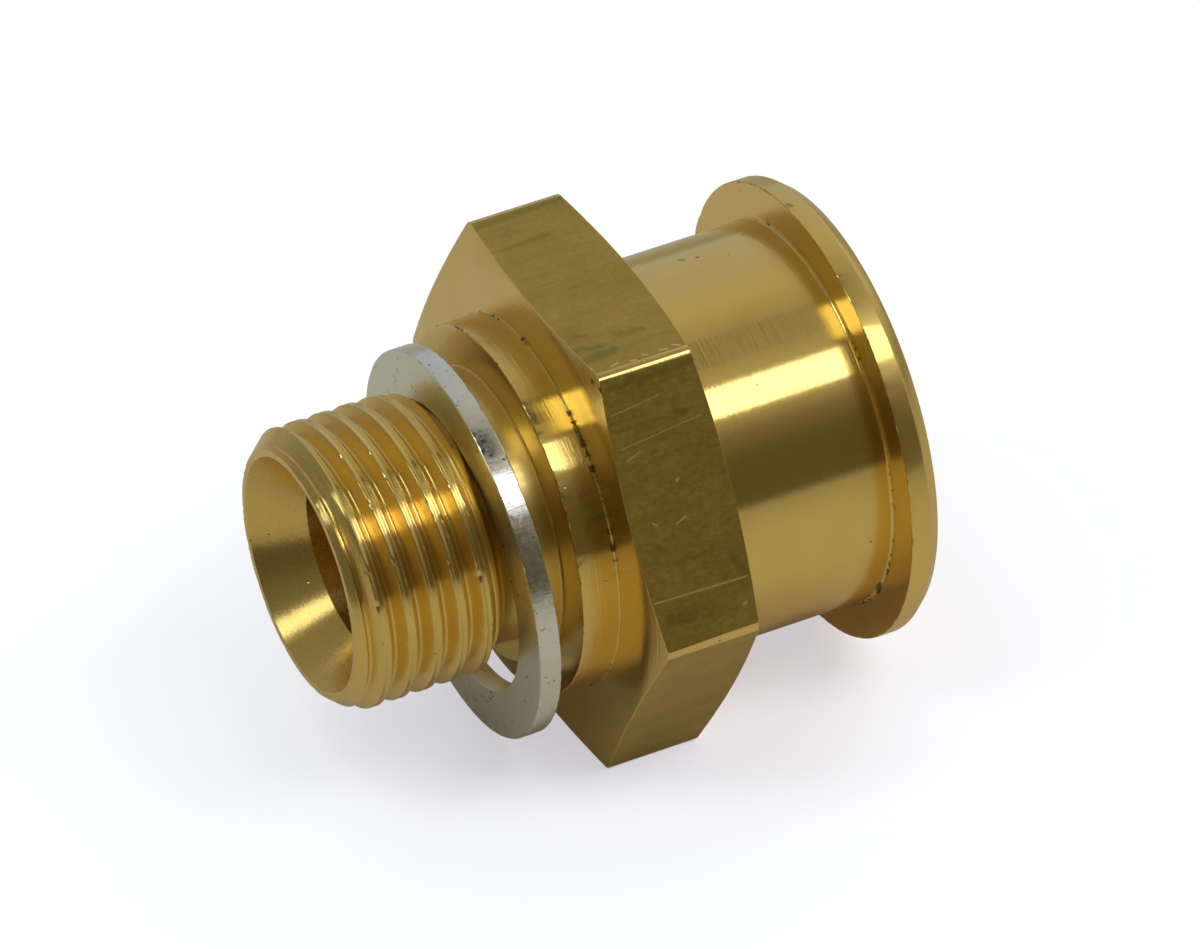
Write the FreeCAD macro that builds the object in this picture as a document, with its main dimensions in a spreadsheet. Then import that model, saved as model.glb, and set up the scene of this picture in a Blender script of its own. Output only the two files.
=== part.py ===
"""Straight pipe adapter: a turned brass body with a male thread, a hexagon and a flanged end,
and a loose aluminium sealing washer that hangs in the relief behind the thread.

The fitting lies on one flat of its hexagon. +X runs along its axis from the threaded end to the
flange, +Z points up, and the origin is on the ground under the middle of its length.
"""

import FreeCAD, Part
import math
import os

import Sketcher

Vector = FreeCAD.Vector
Rotation = FreeCAD.Rotation

# Driving dimensions, in millimetres and degrees. Every station is measured from the threaded end.
DIMENSIONS = [
    ("across_flats", "27", "width of the hexagon between two flats"),
    ("hexagon_start", "14.0", "station of the front face of the hexagon"),
    ("hexagon_width", "6.2", "distance between the two faces of the hexagon"),
    ("corner_circle", "26.9", "diameter where the faces of the hexagon turn into the chamfer"),
    ("front_chamfer_angle", "10", "slope of the chamfer on the front corners"),
    ("rear_chamfer_angle", "12", "slope of the chamfer on the rear corners"),
    ("corner_rounding", "0.65", "radius of the long corners of the drawn bar"),
    ("thread_diameter", "15.96", "diameter over the crests of the thread"),
    ("thread_pitch", "1.5", "lead of the single start right-hand thread"),
    ("thread_crest", "0.45", "width of the flat on a crest"),
    ("thread_depth", "0.78", "height of the thread from root to crest"),
    ("flank_angle", "30", "slope of one flank of the thread"),
    ("thread_phase", "0.33", "station of the first groove on the upper side"),
    ("thread_turns", "5.7", "turns of the groove, counted from one turn before the first"),
    ("rim_diameter", "14.1", "outside of the narrow land round the mouth"),
    ("lead_in_length", "1.1", "length of the chamfer in front of the thread"),
    ("mouth_diameter", "13.3", "wide end of the inner cone"),
    ("cone_half_angle", "30", "slope of the inner cone to the axis"),
    ("bore_diameter", "10", "bore right through the fitting"),
    ("relief_start", "7.85", "station where the thread ends"),
    ("relief_slope_length", "0.95", "length of the sloping side of the relief"),
    ("relief_diameter", "13.8", "bottom of the relief behind the thread"),
    ("seat_diameter", "16.3", "land that centres the washer on the collar"),
    ("seat_length", "1.25", "length of that land"),
    ("collar_diameter", "21", "round shoulder in front of the hexagon"),
    ("collar_width", "2.2", "length of the shoulder"),
    ("barrel_diameter", "21.8", "plain barrel behind the hexagon"),
    ("barrel_length", "10.1", "length of the plain barrel"),
    ("flange_diameter", "26.1", "rim of the end flange"),
    ("flange_rim_width", "1.15", "width of the cylindrical rim"),
    ("flange_chamfer_length", "0.75", "length of the chamfer behind the rim"),
    ("flange_face_diameter", "24.9", "flat end face of the flange"),
    ("flange_fillet", "0.2", "fillet between the barrel and the flange"),
    ("bore_chamfer", "0.4", "chamfer of the bore at the flange"),
    ("edge_break", "0.08", "small break on the turned edges"),
    ("washer_diameter", "22.1", "outside of the washer"),
    ("washer_hole", "16.6", "hole of the washer"),
    ("washer_thickness", "1.25", "thickness of the washer"),
    ("washer_edge", "0.1", "bevel on the outer edges of the washer"),
    ("washer_station", "9.12", "front face of the washer on its own axis"),
    ("washer_lean", "1.8", "lean of the hanging washer, its lower edge towards the collar"),
    ("washer_swing", "1.0", "turn of the washer about the vertical"),
    ("hanging_gap", "0.02", "gap between the hole of the washer and the relief"),
]

# Lengths that follow from the driving dimensions, written as expressions of the sheet.
COLLAR_START = "Sizes.hexagon_start - Sizes.collar_width"
HEXAGON_END = "Sizes.hexagon_start + Sizes.hexagon_width"
FLANGE_START = HEXAGON_END + " + Sizes.barrel_length"
RIM_END = FLANGE_START + " + Sizes.flange_rim_width"
TOTAL_LENGTH = RIM_END + " + Sizes.flange_chamfer_length"
CORNER_RADIUS = "Sizes.across_flats / 2 / cos(30)"
CONE_DEPTH = "(Sizes.mouth_diameter - Sizes.bore_diameter) / 2 / tan(Sizes.cone_half_angle)"

doc = FreeCAD.newDocument("PipeAdapter")


def fill_sheet():
    """Write the driving dimensions into the spreadsheet, one row each."""
    sheet = doc.addObject("Spreadsheet::Sheet", "Sizes")
    for row, (alias, value, meaning) in enumerate(DIMENSIONS, start=1):
        sheet.set("A%d" % row, meaning)
        sheet.set("B%d" % row, value)
        sheet.setAlias("B%d" % row, alias)
    doc.recompute()
    return sheet


sheet = fill_sheet()


def number(expression):
    """The plain number that an expression of the sheet gives."""
    result = sheet.evalExpression(expression.replace("Sizes.", ""))
    return float(getattr(result, "Value", result))


def new_body(name, label):
    """A body with a name of its own."""
    body = doc.addObject("PartDesign::Body", name)
    body.Label = label
    return body


def origin_feature(body, role):
    """One of the axes or planes of a body's origin."""
    return next(item for item in body.Origin.OriginFeatures if item.Role == role)


def draw_outline(body, name, points, role="XZ_Plane"):
    """A closed outline on a plane of the body. Each point is a pair of expressions, and each side
    that runs along an axis is held by one constraint in place of a second size."""
    sketch = body.newObject("Sketcher::SketchObject", name)
    sketch.AttachmentSupport = [(origin_feature(body, role), "")]
    sketch.MapMode = "FlatFace"
    corners = [Vector(number(along), number(out), 0) for along, out in points]
    count = len(points)
    for index in range(count):
        sketch.addGeometry(Part.LineSegment(corners[index], corners[(index + 1) % count]), False)
    for index in range(count):
        following = (index + 1) % count
        sketch.addConstraint(Sketcher.Constraint("Coincident", index, 2, following, 1))
    for index in range(count):
        before = points[index - 1]
        along, out = points[index]
        if index and along == before[0]:
            sketch.addConstraint(Sketcher.Constraint("Vertical", index - 1))
        else:
            add_size(sketch, "DistanceX", index, along, "along_%d" % index)
        if index and out == before[1]:
            sketch.addConstraint(Sketcher.Constraint("Horizontal", index - 1))
        else:
            add_size(sketch, "DistanceY", index, out, "out_%d" % index)
    return sketch


def add_size(sketch, kind, index, expression, name):
    """Hold the start of a line at a distance from the sketch's origin."""
    if abs(number(expression)) < 1e-9:
        on_axis = -2 if kind == "DistanceX" else -1
        sketch.addConstraint(Sketcher.Constraint("PointOnObject", index, 1, on_axis))
        return
    place = sketch.addConstraint(Sketcher.Constraint(kind, -1, 1, index, 1, number(expression)))
    sketch.renameConstraint(place, name)
    sketch.setExpression("Constraints." + name, expression)


def turn_about_axis(body, kind, name, sketch):
    """Revolve an outline right round the axis of the fitting."""
    feature = body.newObject(kind, name)
    feature.Profile = sketch
    feature.ReferenceAxis = (origin_feature(body, "X_Axis"), [""])
    feature.Angle = 360
    doc.recompute()
    return feature


def circles_at(shape, station, radius):
    """Names of the round edges of a shape at one station and radius."""
    names = []
    for index, edge in enumerate(shape.Edges, start=1):
        curve = edge.Curve
        if isinstance(curve, Part.Circle) and abs(curve.Radius - radius) < 1e-4:
            if abs(curve.Center.x - station) < 1e-4:
                names.append("Edge%d" % index)
    return names


def dress_edges(body, kind, name, places, size_property, expression):
    """Fillet or chamfer the round edges at the given stations and radii."""
    base = body.Tip
    edges = []
    for station, radius in places:
        edges += circles_at(base.Shape, number(station), number(radius))
    feature = body.newObject(kind, name)
    feature.Base = (base, edges)
    feature.setExpression(size_property, expression)
    doc.recompute()
    return feature


# Brass body, first as it leaves the lathe: one profile with the hexagon still round.
body = new_body("AdapterBody", "adapter_body")
blank_outline = draw_outline(body, "BlankOutline", [
    ("0 * Sizes.across_flats", "0 * Sizes.across_flats"),
    ("0 * Sizes.across_flats", "Sizes.rim_diameter / 2"),
    ("Sizes.lead_in_length", "Sizes.thread_diameter / 2"),
    ("Sizes.relief_start", "Sizes.thread_diameter / 2"),
    ("Sizes.relief_start + Sizes.relief_slope_length", "Sizes.relief_diameter / 2"),
    (COLLAR_START + " - Sizes.seat_length", "Sizes.relief_diameter / 2"),
    (COLLAR_START + " - Sizes.seat_length", "Sizes.seat_diameter / 2"),
    (COLLAR_START, "Sizes.seat_diameter / 2"),
    (COLLAR_START, "Sizes.collar_diameter / 2"),
    ("Sizes.hexagon_start", "Sizes.collar_diameter / 2"),
    ("Sizes.hexagon_start", "Sizes.corner_circle / 2"),
    ("Sizes.hexagon_start + (" + CORNER_RADIUS
     + " - Sizes.corner_circle / 2) * tan(Sizes.front_chamfer_angle)", CORNER_RADIUS),
    (HEXAGON_END + " - (" + CORNER_RADIUS
     + " - Sizes.corner_circle / 2) * tan(Sizes.rear_chamfer_angle)", CORNER_RADIUS),
    (HEXAGON_END, "Sizes.corner_circle / 2"),
    (HEXAGON_END, "Sizes.barrel_diameter / 2"),
    (FLANGE_START, "Sizes.barrel_diameter / 2"),
    (FLANGE_START, "Sizes.flange_diameter / 2"),
    (RIM_END, "Sizes.flange_diameter / 2"),
    (TOTAL_LENGTH, "Sizes.flange_face_diameter / 2"),
    (TOTAL_LENGTH, "0 * Sizes.across_flats"),
])
turn_about_axis(body, "PartDesign::Revolution", "TurnedBlank", blank_outline)

# The front edges of the collar and the flange are broken, and the foot of the flange has the
# radius of the tool.
dress_edges(body, "PartDesign::Chamfer", "BrokenEdges", [
    (COLLAR_START, "Sizes.collar_diameter / 2"),
    (FLANGE_START, "Sizes.flange_diameter / 2"),
], "Size", "Sizes.edge_break")
dress_edges(body, "PartDesign::Fillet", "FlangeFoot", [
    (FLANGE_START, "Sizes.barrel_diameter / 2"),
], "Radius", "Sizes.flange_fillet")


def cut_hexagon():
    """Mill the six flats off the round: everything between a hexagon and a ring round it goes."""
    sketch = body.newObject("Sketcher::SketchObject", "HexagonOutline")
    sketch.AttachmentSupport = [(origin_feature(body, "YZ_Plane"), "")]
    sketch.MapMode = "FlatFace"
    sketch.setExpression("AttachmentOffset.Base.z", "Sizes.hexagon_start")
    corner = number(CORNER_RADIUS)
    corners = [Vector(corner * math.cos(math.radians(60 * side)),
                      corner * math.sin(math.radians(60 * side)), 0) for side in range(6)]
    for side in range(6):
        sketch.addGeometry(Part.LineSegment(corners[side], corners[(side + 1) % 6]), False)
    for side in range(6):
        sketch.addConstraint(Sketcher.Constraint("Coincident", side, 2, (side + 1) % 6, 1))
    guide = sketch.addGeometry(Part.Circle(Vector(0, 0, 0), Vector(0, 0, 1), corner), True)
    sketch.addConstraint(Sketcher.Constraint("Coincident", guide, 3, -1, 1))
    for side in range(6):
        sketch.addConstraint(Sketcher.Constraint("PointOnObject", side, 1, guide))
    for side in range(5):
        sketch.addConstraint(Sketcher.Constraint("Equal", side, side + 1))
    sketch.addConstraint(Sketcher.Constraint("Horizontal", 1))
    radius = sketch.addConstraint(Sketcher.Constraint("Radius", guide, corner))
    sketch.renameConstraint(radius, "corner_radius")
    sketch.setExpression("Constraints.corner_radius", CORNER_RADIUS)
    ring = sketch.addGeometry(Part.Circle(Vector(0, 0, 0), Vector(0, 0, 1), corner * 1.2), False)
    sketch.addConstraint(Sketcher.Constraint("Coincident", ring, 3, -1, 1))
    clear = sketch.addConstraint(Sketcher.Constraint("Radius", ring, corner * 1.2))
    sketch.renameConstraint(clear, "ring_radius")
    sketch.setExpression("Constraints.ring_radius", CORNER_RADIUS + " + Sizes.thread_pitch")
    pocket = body.newObject("PartDesign::Pocket", "Hexagon")
    pocket.Profile = sketch
    pocket.Type = "Length"
    pocket.setExpression("Length", "Sizes.hexagon_width")
    pocket.Reversed = True
    doc.recompute()
    return pocket


round_volume = body.Tip.Shape.Volume
hexagon = cut_hexagon()
if hexagon.Shape.Volume > round_volume - 1:
    raise RuntimeError("the flats of the hexagon cut nothing")


def round_corners():
    """Round the six long corners of the hexagon, which the drawn bar has from its die."""
    corner = number(CORNER_RADIUS)
    edges = []
    for index, edge in enumerate(hexagon.Shape.Edges, start=1):
        ends = [math.hypot(end.Y, end.Z) for end in edge.Vertexes]
        if isinstance(edge.Curve, Part.Line) and min(ends) > corner - 1e-4 and edge.Length > 1:
            edges.append("Edge%d" % index)
    if len(edges) != 6:
        raise RuntimeError("%d long corners found, not six" % len(edges))
    rounding = body.newObject("PartDesign::Fillet", "DrawnCorners")
    rounding.Base = (hexagon, edges)
    rounding.setExpression("Radius", "Sizes.corner_rounding")
    doc.recompute()


round_corners()

# The way through: the inner cone of the threaded end, the bore and its chamfer at the flange.
bore_outline = draw_outline(body, "BoreOutline", [
    ("0 * Sizes.across_flats", "0 * Sizes.across_flats"),
    ("0 * Sizes.across_flats", "Sizes.mouth_diameter / 2"),
    (CONE_DEPTH, "Sizes.bore_diameter / 2"),
    (TOTAL_LENGTH + " - Sizes.bore_chamfer", "Sizes.bore_diameter / 2"),
    (TOTAL_LENGTH, "Sizes.bore_diameter / 2 + Sizes.bore_chamfer"),
    (TOTAL_LENGTH, "0 * Sizes.across_flats"),
])
turn_about_axis(body, "PartDesign::Groove", "Bore", bore_outline)


def cut_thread():
    """Cut the helical groove. Its outline stands one pitch in front of the first full groove, so
    that the tool comes in from the air, and the groove ends where it meets the relief."""
    root = "(Sizes.thread_diameter / 2 - Sizes.thread_depth)"
    above = "(Sizes.thread_diameter / 2 + Sizes.thread_crest / 2)"
    middle = "Sizes.thread_phase"
    top_half = ("((Sizes.thread_pitch - Sizes.thread_crest) / 2"
                " + Sizes.thread_crest / 2 * tan(Sizes.flank_angle))")
    root_half = ("((Sizes.thread_pitch - Sizes.thread_crest) / 2"
                 " - Sizes.thread_depth * tan(Sizes.flank_angle))")
    outline = draw_outline(body, "GrooveOutline", [
        (middle + " - " + top_half, above),
        (middle + " + " + top_half, above),
        (middle + " + " + root_half, root),
        (middle + " - " + root_half, root),
    ])
    outline.setExpression("AttachmentOffset.Base.x", "-Sizes.thread_pitch")
    helix = body.newObject("PartDesign::SubtractiveHelix", "Thread")
    helix.Profile = outline
    helix.ReferenceAxis = (origin_feature(body, "X_Axis"), [""])
    helix.Mode = "pitch-turns-angle"
    helix.setExpression("Pitch", "Sizes.thread_pitch")
    helix.setExpression("Turns", "Sizes.thread_turns")
    helix.Angle = 0
    helix.LeftHanded = False
    helix.Reversed = False
    doc.recompute()
    return helix


plain_volume = body.Tip.Shape.Volume
thread = cut_thread()
if thread.Shape.Volume > plain_volume - 1:
    raise RuntimeError("the thread cut nothing")

body.setExpression("Placement.Base.x", "-(" + TOTAL_LENGTH + ") / 2")
body.setExpression("Placement.Base.z", "Sizes.across_flats / 2")

# Loose washer: stamped from aluminium sheet and turned on its rim, which breaks its outer edges.
washer = new_body("SealingWasher", "sealing_washer")
washer_outline = draw_outline(washer, "WasherOutline", [
    ("0 * Sizes.across_flats", "Sizes.washer_hole / 2"),
    ("0 * Sizes.across_flats", "Sizes.washer_diameter / 2"),
    ("Sizes.washer_thickness", "Sizes.washer_diameter / 2"),
    ("Sizes.washer_thickness", "Sizes.washer_hole / 2"),
])
turn_about_axis(washer, "PartDesign::Revolution", "Blank", washer_outline)
dress_edges(washer, "PartDesign::Chamfer", "BrokenRim", [
    ("0 * Sizes.across_flats", "Sizes.washer_diameter / 2"),
    ("Sizes.washer_thickness", "Sizes.washer_diameter / 2"),
], "Size", "Sizes.washer_edge")

# It hangs by the top of its hole on the bottom of the relief, and leans a little.
washer.Placement = FreeCAD.Placement(
    Vector(number("Sizes.washer_station") - number(TOTAL_LENGTH) / 2, 0,
           number("Sizes.across_flats / 2 - Sizes.washer_hole / 2"
                  " + Sizes.relief_diameter / 2 + Sizes.hanging_gap")),
    Rotation(Vector(0, 1, 0), -number("Sizes.washer_lean"))
    * Rotation(Vector(0, 0, 1), -number("Sizes.washer_swing")))
doc.recompute()

for item in doc.Objects:
    if "Invalid" in item.State or "Error" in item.State:
        raise RuntimeError("%s did not compute: %s" % (item.Label, item.State))

os.makedirs("parts", exist_ok=True)
for piece in (body, washer):
    shape = piece.Shape
    if shape.isNull() or not shape.isValid() or len(shape.Solids) != 1:
        raise RuntimeError("%s is not one valid solid" % piece.Label)
    shape.exportStep("parts/%s.step" % piece.Label)
    print(piece.Label, round(shape.Volume, 2), "mm3", shape.BoundBox)
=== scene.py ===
"""Straight pipe adapter of turned brass, with the loose aluminium washer that hangs behind its
thread, lying on one flat of its hexagon on a pale floor."""

import math
import random

import bpy
import numpy as np
from mathutils import Matrix, Vector


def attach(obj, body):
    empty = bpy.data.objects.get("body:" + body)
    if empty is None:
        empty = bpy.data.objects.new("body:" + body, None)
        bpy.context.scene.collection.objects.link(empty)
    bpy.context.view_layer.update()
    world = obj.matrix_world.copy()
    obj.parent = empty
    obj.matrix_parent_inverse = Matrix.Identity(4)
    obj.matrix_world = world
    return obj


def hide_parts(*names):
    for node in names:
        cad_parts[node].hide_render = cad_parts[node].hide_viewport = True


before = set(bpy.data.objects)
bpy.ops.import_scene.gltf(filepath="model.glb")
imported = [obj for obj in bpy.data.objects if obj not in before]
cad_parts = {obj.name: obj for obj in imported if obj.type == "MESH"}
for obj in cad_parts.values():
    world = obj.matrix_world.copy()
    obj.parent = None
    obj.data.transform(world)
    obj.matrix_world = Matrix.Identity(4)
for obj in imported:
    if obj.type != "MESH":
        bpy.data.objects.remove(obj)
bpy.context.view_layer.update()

# Threaded end. A right-hand M16x1.5 thread, cut on the lathe with a single point tool into the
# brass bar, then faced and chamfered in front and turned down to a relief behind.
# The whole body is drawn lying along X in millimetres, its axis on the X line, each station
# counted from the threaded end, and is brought to its place in metres when it is finished.
PITCH = 1.5
CREST_RADIUS = 7.98
CREST_WIDTH = 0.45
CREST_HOLLOW = 0.045
FIRST_GROOVE = 0.33
FLANK_SLOPE = math.tan(math.radians(30))
ROOT_ROUNDING = 0.19
RIM_RADIUS = 7.05
LEAD_IN_LENGTH = 1.1
RELIEF_START = 7.85
RELIEF_FLOOR = 8.8
RELIEF_RADIUS = 6.9
CREST_BREAK = 0.06

# How finely the thread is wound: stretches of its profile over the long one are divided, and a
# vertex nearer to an end than the snap is put on it.
TURNS = 8
STEPS_PER_TURN = 360
LONG_STRETCH = 0.15
END_SNAP = 0.03
TINY = 1e-6
MERGE_WITHIN = 0.0005


def start_point(name, station, radius):
    """A new piece that is a single point, selected in edit mode, at a station and radius."""
    bpy.ops.object.select_all(action="DESELECT")
    bpy.ops.mesh.primitive_plane_add(size=1)
    piece = bpy.context.object
    piece.name = name
    piece.data.name = name
    bpy.ops.object.mode_set(mode="EDIT")
    bpy.ops.mesh.select_mode(type="VERT")
    bpy.ops.mesh.merge(type="CENTER")
    bpy.ops.transform.translate(value=(station, 0, radius))
    return piece


def places(piece):
    """The vertices of a piece as rows of x, y and z."""
    flat = np.zeros(len(piece.data.vertices) * 3)
    piece.data.vertices.foreach_get("co", flat)
    return flat.reshape(-1, 3)


def set_places(piece, rows):
    """Put the vertices of a piece back from rows of x, y and z."""
    piece.data.vertices.foreach_set("co", rows.ravel())
    piece.data.update()


def select_where(piece, wanted):
    """Select the vertices that pass a test of their station and radius, in edit mode."""
    bpy.ops.object.mode_set(mode="EDIT")
    bpy.ops.mesh.select_mode(type="VERT")
    bpy.ops.mesh.select_all(action="DESELECT")
    bpy.ops.object.mode_set(mode="OBJECT")
    rows = places(piece)
    chosen = wanted(rows[:, 0], np.hypot(rows[:, 1], rows[:, 2]))
    piece.data.vertices.foreach_set("select", chosen)
    bpy.ops.object.mode_set(mode="EDIT")


half_groove = (PITCH - CREST_WIDTH) / 2
groove_start = FIRST_GROOVE - PITCH
body = start_point("adapter_body_turned", groove_start - PITCH / 2, CREST_RADIUS - CREST_HOLLOW)
bpy.ops.mesh.extrude_region_move(
    TRANSFORM_OT_translate={"value": (CREST_WIDTH / 2, 0, CREST_HOLLOW)})
bpy.ops.mesh.extrude_region_move(
    TRANSFORM_OT_translate={"value": (half_groove, 0, -half_groove / FLANK_SLOPE)})
bpy.ops.mesh.extrude_region_move(
    TRANSFORM_OT_translate={"value": (half_groove, 0, half_groove / FLANK_SLOPE)})
bpy.ops.mesh.extrude_region_move(
    TRANSFORM_OT_translate={"value": (CREST_WIDTH / 2, 0, -CREST_HOLLOW)})
select_where(body, lambda station, radius: radius < CREST_RADIUS - 0.5)
bpy.ops.mesh.bevel(affect="VERTICES", offset=ROOT_ROUNDING / FLANK_SLOPE, segments=6)
select_where(body, lambda station, radius: (radius > CREST_RADIUS - 0.01)
             & (abs(abs(station - groove_start) - half_groove) < 0.01))
bpy.ops.mesh.bevel(affect="VERTICES", offset=CREST_BREAK, segments=2)
bpy.ops.object.mode_set(mode="OBJECT")
for edge in body.data.edges:
    ends = [body.data.vertices[index].co for index in edge.vertices]
    edge.select = (ends[0] - ends[1]).length > LONG_STRETCH
bpy.ops.object.mode_set(mode="EDIT")
bpy.ops.mesh.select_mode(type="EDGE")
bpy.ops.mesh.subdivide(number_cuts=2)
bpy.ops.object.mode_set(mode="OBJECT")
winding = body.modifiers.new("Winding", "SCREW")
winding.axis = "X"
winding.angle = math.radians(360 * TURNS)
winding.screw_offset = PITCH * TURNS
winding.steps = STEPS_PER_TURN * TURNS
winding.render_steps = STEPS_PER_TURN * TURNS
bpy.ops.object.modifier_apply(modifier=winding.name)


def envelope(station):
    """The radius that the chamfer in front and the relief behind leave standing."""
    lead_in = RIM_RADIUS + (CREST_RADIUS - RIM_RADIUS) * station / LEAD_IN_LENGTH
    relief = CREST_RADIUS - ((station - RELIEF_START) * (CREST_RADIUS - RELIEF_RADIUS)
                             / (RELIEF_FLOOR - RELIEF_START))
    return np.minimum(lead_in, relief)


# The front face, the chamfer in front and the relief behind cut the winding off. Along each line
# from front to back, the vertex nearest to a cut is first slid along the line onto the cut, so
# that its edge is clean.
rows = places(body)
per_step = len(rows) // (STEPS_PER_TURN * TURNS + 1)
order = np.argsort(rows[:per_step, 0])
ordered = rows.reshape(-1, per_step, 3)[:, order]
last_step = ordered[-1]
turns = ordered[:-1].reshape(TURNS, STEPS_PER_TURN, per_step, 3)
lines = turns[:, :, :-1].transpose(1, 0, 2, 3).reshape(STEPS_PER_TURN, -1, 3)
angle = np.arctan2(lines[:, :1, 1], lines[:, :1, 2])
flat = np.stack([lines[:, :, 0], np.hypot(lines[:, :, 1], lines[:, :, 2])], axis=2)
above = flat[:, :, 1] - envelope(flat[:, :, 0])
share = above[:, :-1] / (above[:, :-1] - above[:, 1:] + 1e-12)
crossed = above[:, :-1] * above[:, 1:] < 0
meeting = flat[:, :-1] + (flat[:, 1:] - flat[:, :-1]) * share[:, :, None]
for shift, chosen in ((0, crossed & (share < 0.5)), (1, crossed & (share >= 0.5))):
    steps, spots = np.nonzero(chosen)
    flat[steps, spots + shift] = meeting[steps, spots]
flat[:, :, 0][flat[:, :, 0] < END_SNAP] = 0
flat[:, :, 0][flat[:, :, 0] > RELIEF_FLOOR - END_SNAP] = RELIEF_FLOOR
turned = np.minimum(flat[:, :, 1], envelope(flat[:, :, 0]))
turned[flat[:, :, 0] < TINY] = RIM_RADIUS
turned[flat[:, :, 0] > RELIEF_FLOOR - TINY] = RELIEF_RADIUS
lines = np.stack([flat[:, :, 0], turned * np.sin(angle), turned * np.cos(angle)], axis=2)
turns[:, :, :-1] = lines.reshape(STEPS_PER_TURN, TURNS, per_step - 1, 3).transpose(1, 0, 2, 3)
turns[:-1, :, -1] = turns[1:, :, 0]
for row in [turns[-1, :, -1], last_step]:
    row[:, 0] = RELIEF_FLOOR
    row[:, 1:] *= (RELIEF_RADIUS / np.hypot(row[:, 1], row[:, 2]))[:, None]
ordered[:-1] = turns.reshape(-1, per_step, 3)
rows.reshape(-1, per_step, 3)[:, order] = ordered
set_places(body, rows)
bpy.ops.object.mode_set(mode="EDIT")
bpy.ops.mesh.select_all(action="SELECT")
bpy.ops.mesh.remove_doubles(threshold=MERGE_WITHIN)

# Seat, collar, hexagon, barrel and flange. All are turned from the same bar in one clamping: the
# profile is carried on from the relief ring by ring, and goes back through the bore to the mouth.
SEAT_STATION = 10.55
SEAT_RADIUS = 8.15
COLLAR_STATION = 11.8
COLLAR_RADIUS = 10.5
HEXAGON_START = 14.0
HEXAGON_END = 20.2
ACROSS_FLATS = 27.0
CORNER_RADIUS = ACROSS_FLATS / 2 / math.cos(math.radians(30))
CORNER_CIRCLE = 13.45
CORNER_ROUNDING = 0.65
HEXAGON_BREAK = 0.05
FRONT_BOW = (CORNER_RADIUS - CORNER_CIRCLE) * math.tan(math.radians(10))
REAR_BOW = (CORNER_RADIUS - CORNER_CIRCLE) * math.tan(math.radians(12))
BARREL_RADIUS = 10.9
FLANGE_START = 30.3
FLANGE_RADIUS = 13.05
FLANGE_RIM_END = 31.45
FLANGE_END = 32.2
FLANGE_FACE_RADIUS = 12.45
BORE_RADIUS = 5.0
BORE_CHAMFER = 0.4
CONE_DEPTH = 2.858
MOUTH_RADIUS = 6.65
RING_STEP = 0.6


def draw_rings(first, profile, step=100):
    """Carry the selected ring on along a turned profile of stations and radii. A stretch that is
    longer than the step gets rings between, so that a nick in an edge stays small."""
    before = first
    for corner in profile:
        length = math.dist(before, corner)
        count = max(1, round(length / step))
        start = before
        for part in range(1, count + 1):
            station = start[0] + (corner[0] - start[0]) * part / count
            radius = start[1] + (corner[1] - start[1]) * part / count
            bpy.ops.mesh.extrude_region_move()
            bpy.ops.transform.translate(value=(station - before[0], 0, 0))
            scale = radius / before[1]
            bpy.ops.transform.resize(value=(1, scale, scale), center_override=(0, 0, 0))
            before = (station, radius)


def select_ring(piece, ring_station, ring_radius):
    """Select the ring of vertices at a station and radius."""
    select_where(piece, lambda station, radius: (abs(station - ring_station) < 0.002)
                 & (abs(radius - ring_radius) < 0.002))


select_ring(body, RELIEF_FLOOR, RELIEF_RADIUS)
draw_rings((RELIEF_FLOOR, RELIEF_RADIUS), [
    (SEAT_STATION, RELIEF_RADIUS),
    (SEAT_STATION, SEAT_RADIUS),
    (COLLAR_STATION, SEAT_RADIUS),
    (COLLAR_STATION, COLLAR_RADIUS),
    (HEXAGON_START, COLLAR_RADIUS),
    (HEXAGON_START, CORNER_CIRCLE),
    (HEXAGON_START + FRONT_BOW, CORNER_RADIUS),
], RING_STEP)
draw_rings((HEXAGON_START + FRONT_BOW, CORNER_RADIUS), [(HEXAGON_END - REAR_BOW, CORNER_RADIUS)])
draw_rings((HEXAGON_END - REAR_BOW, CORNER_RADIUS), [
    (HEXAGON_END, CORNER_CIRCLE),
    (HEXAGON_END, BARREL_RADIUS),
], RING_STEP)
draw_rings((HEXAGON_END, BARREL_RADIUS), [(FLANGE_START, BARREL_RADIUS)])
draw_rings((FLANGE_START, BARREL_RADIUS), [
    (FLANGE_START, FLANGE_RADIUS),
    (FLANGE_RIM_END, FLANGE_RADIUS),
    (FLANGE_END, FLANGE_FACE_RADIUS),
], RING_STEP)
draw_rings((FLANGE_END, FLANGE_FACE_RADIUS), [
    (FLANGE_END, BORE_RADIUS + BORE_CHAMFER),
    (FLANGE_END - BORE_CHAMFER, BORE_RADIUS),
    (CONE_DEPTH, BORE_RADIUS),
    (0, MOUTH_RADIUS),
    (0, RIM_RADIUS),
])
bpy.ops.mesh.select_all(action="SELECT")
bpy.ops.mesh.remove_doubles(threshold=MERGE_WITHIN)
bpy.ops.mesh.normals_make_consistent(inside=False)

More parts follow.
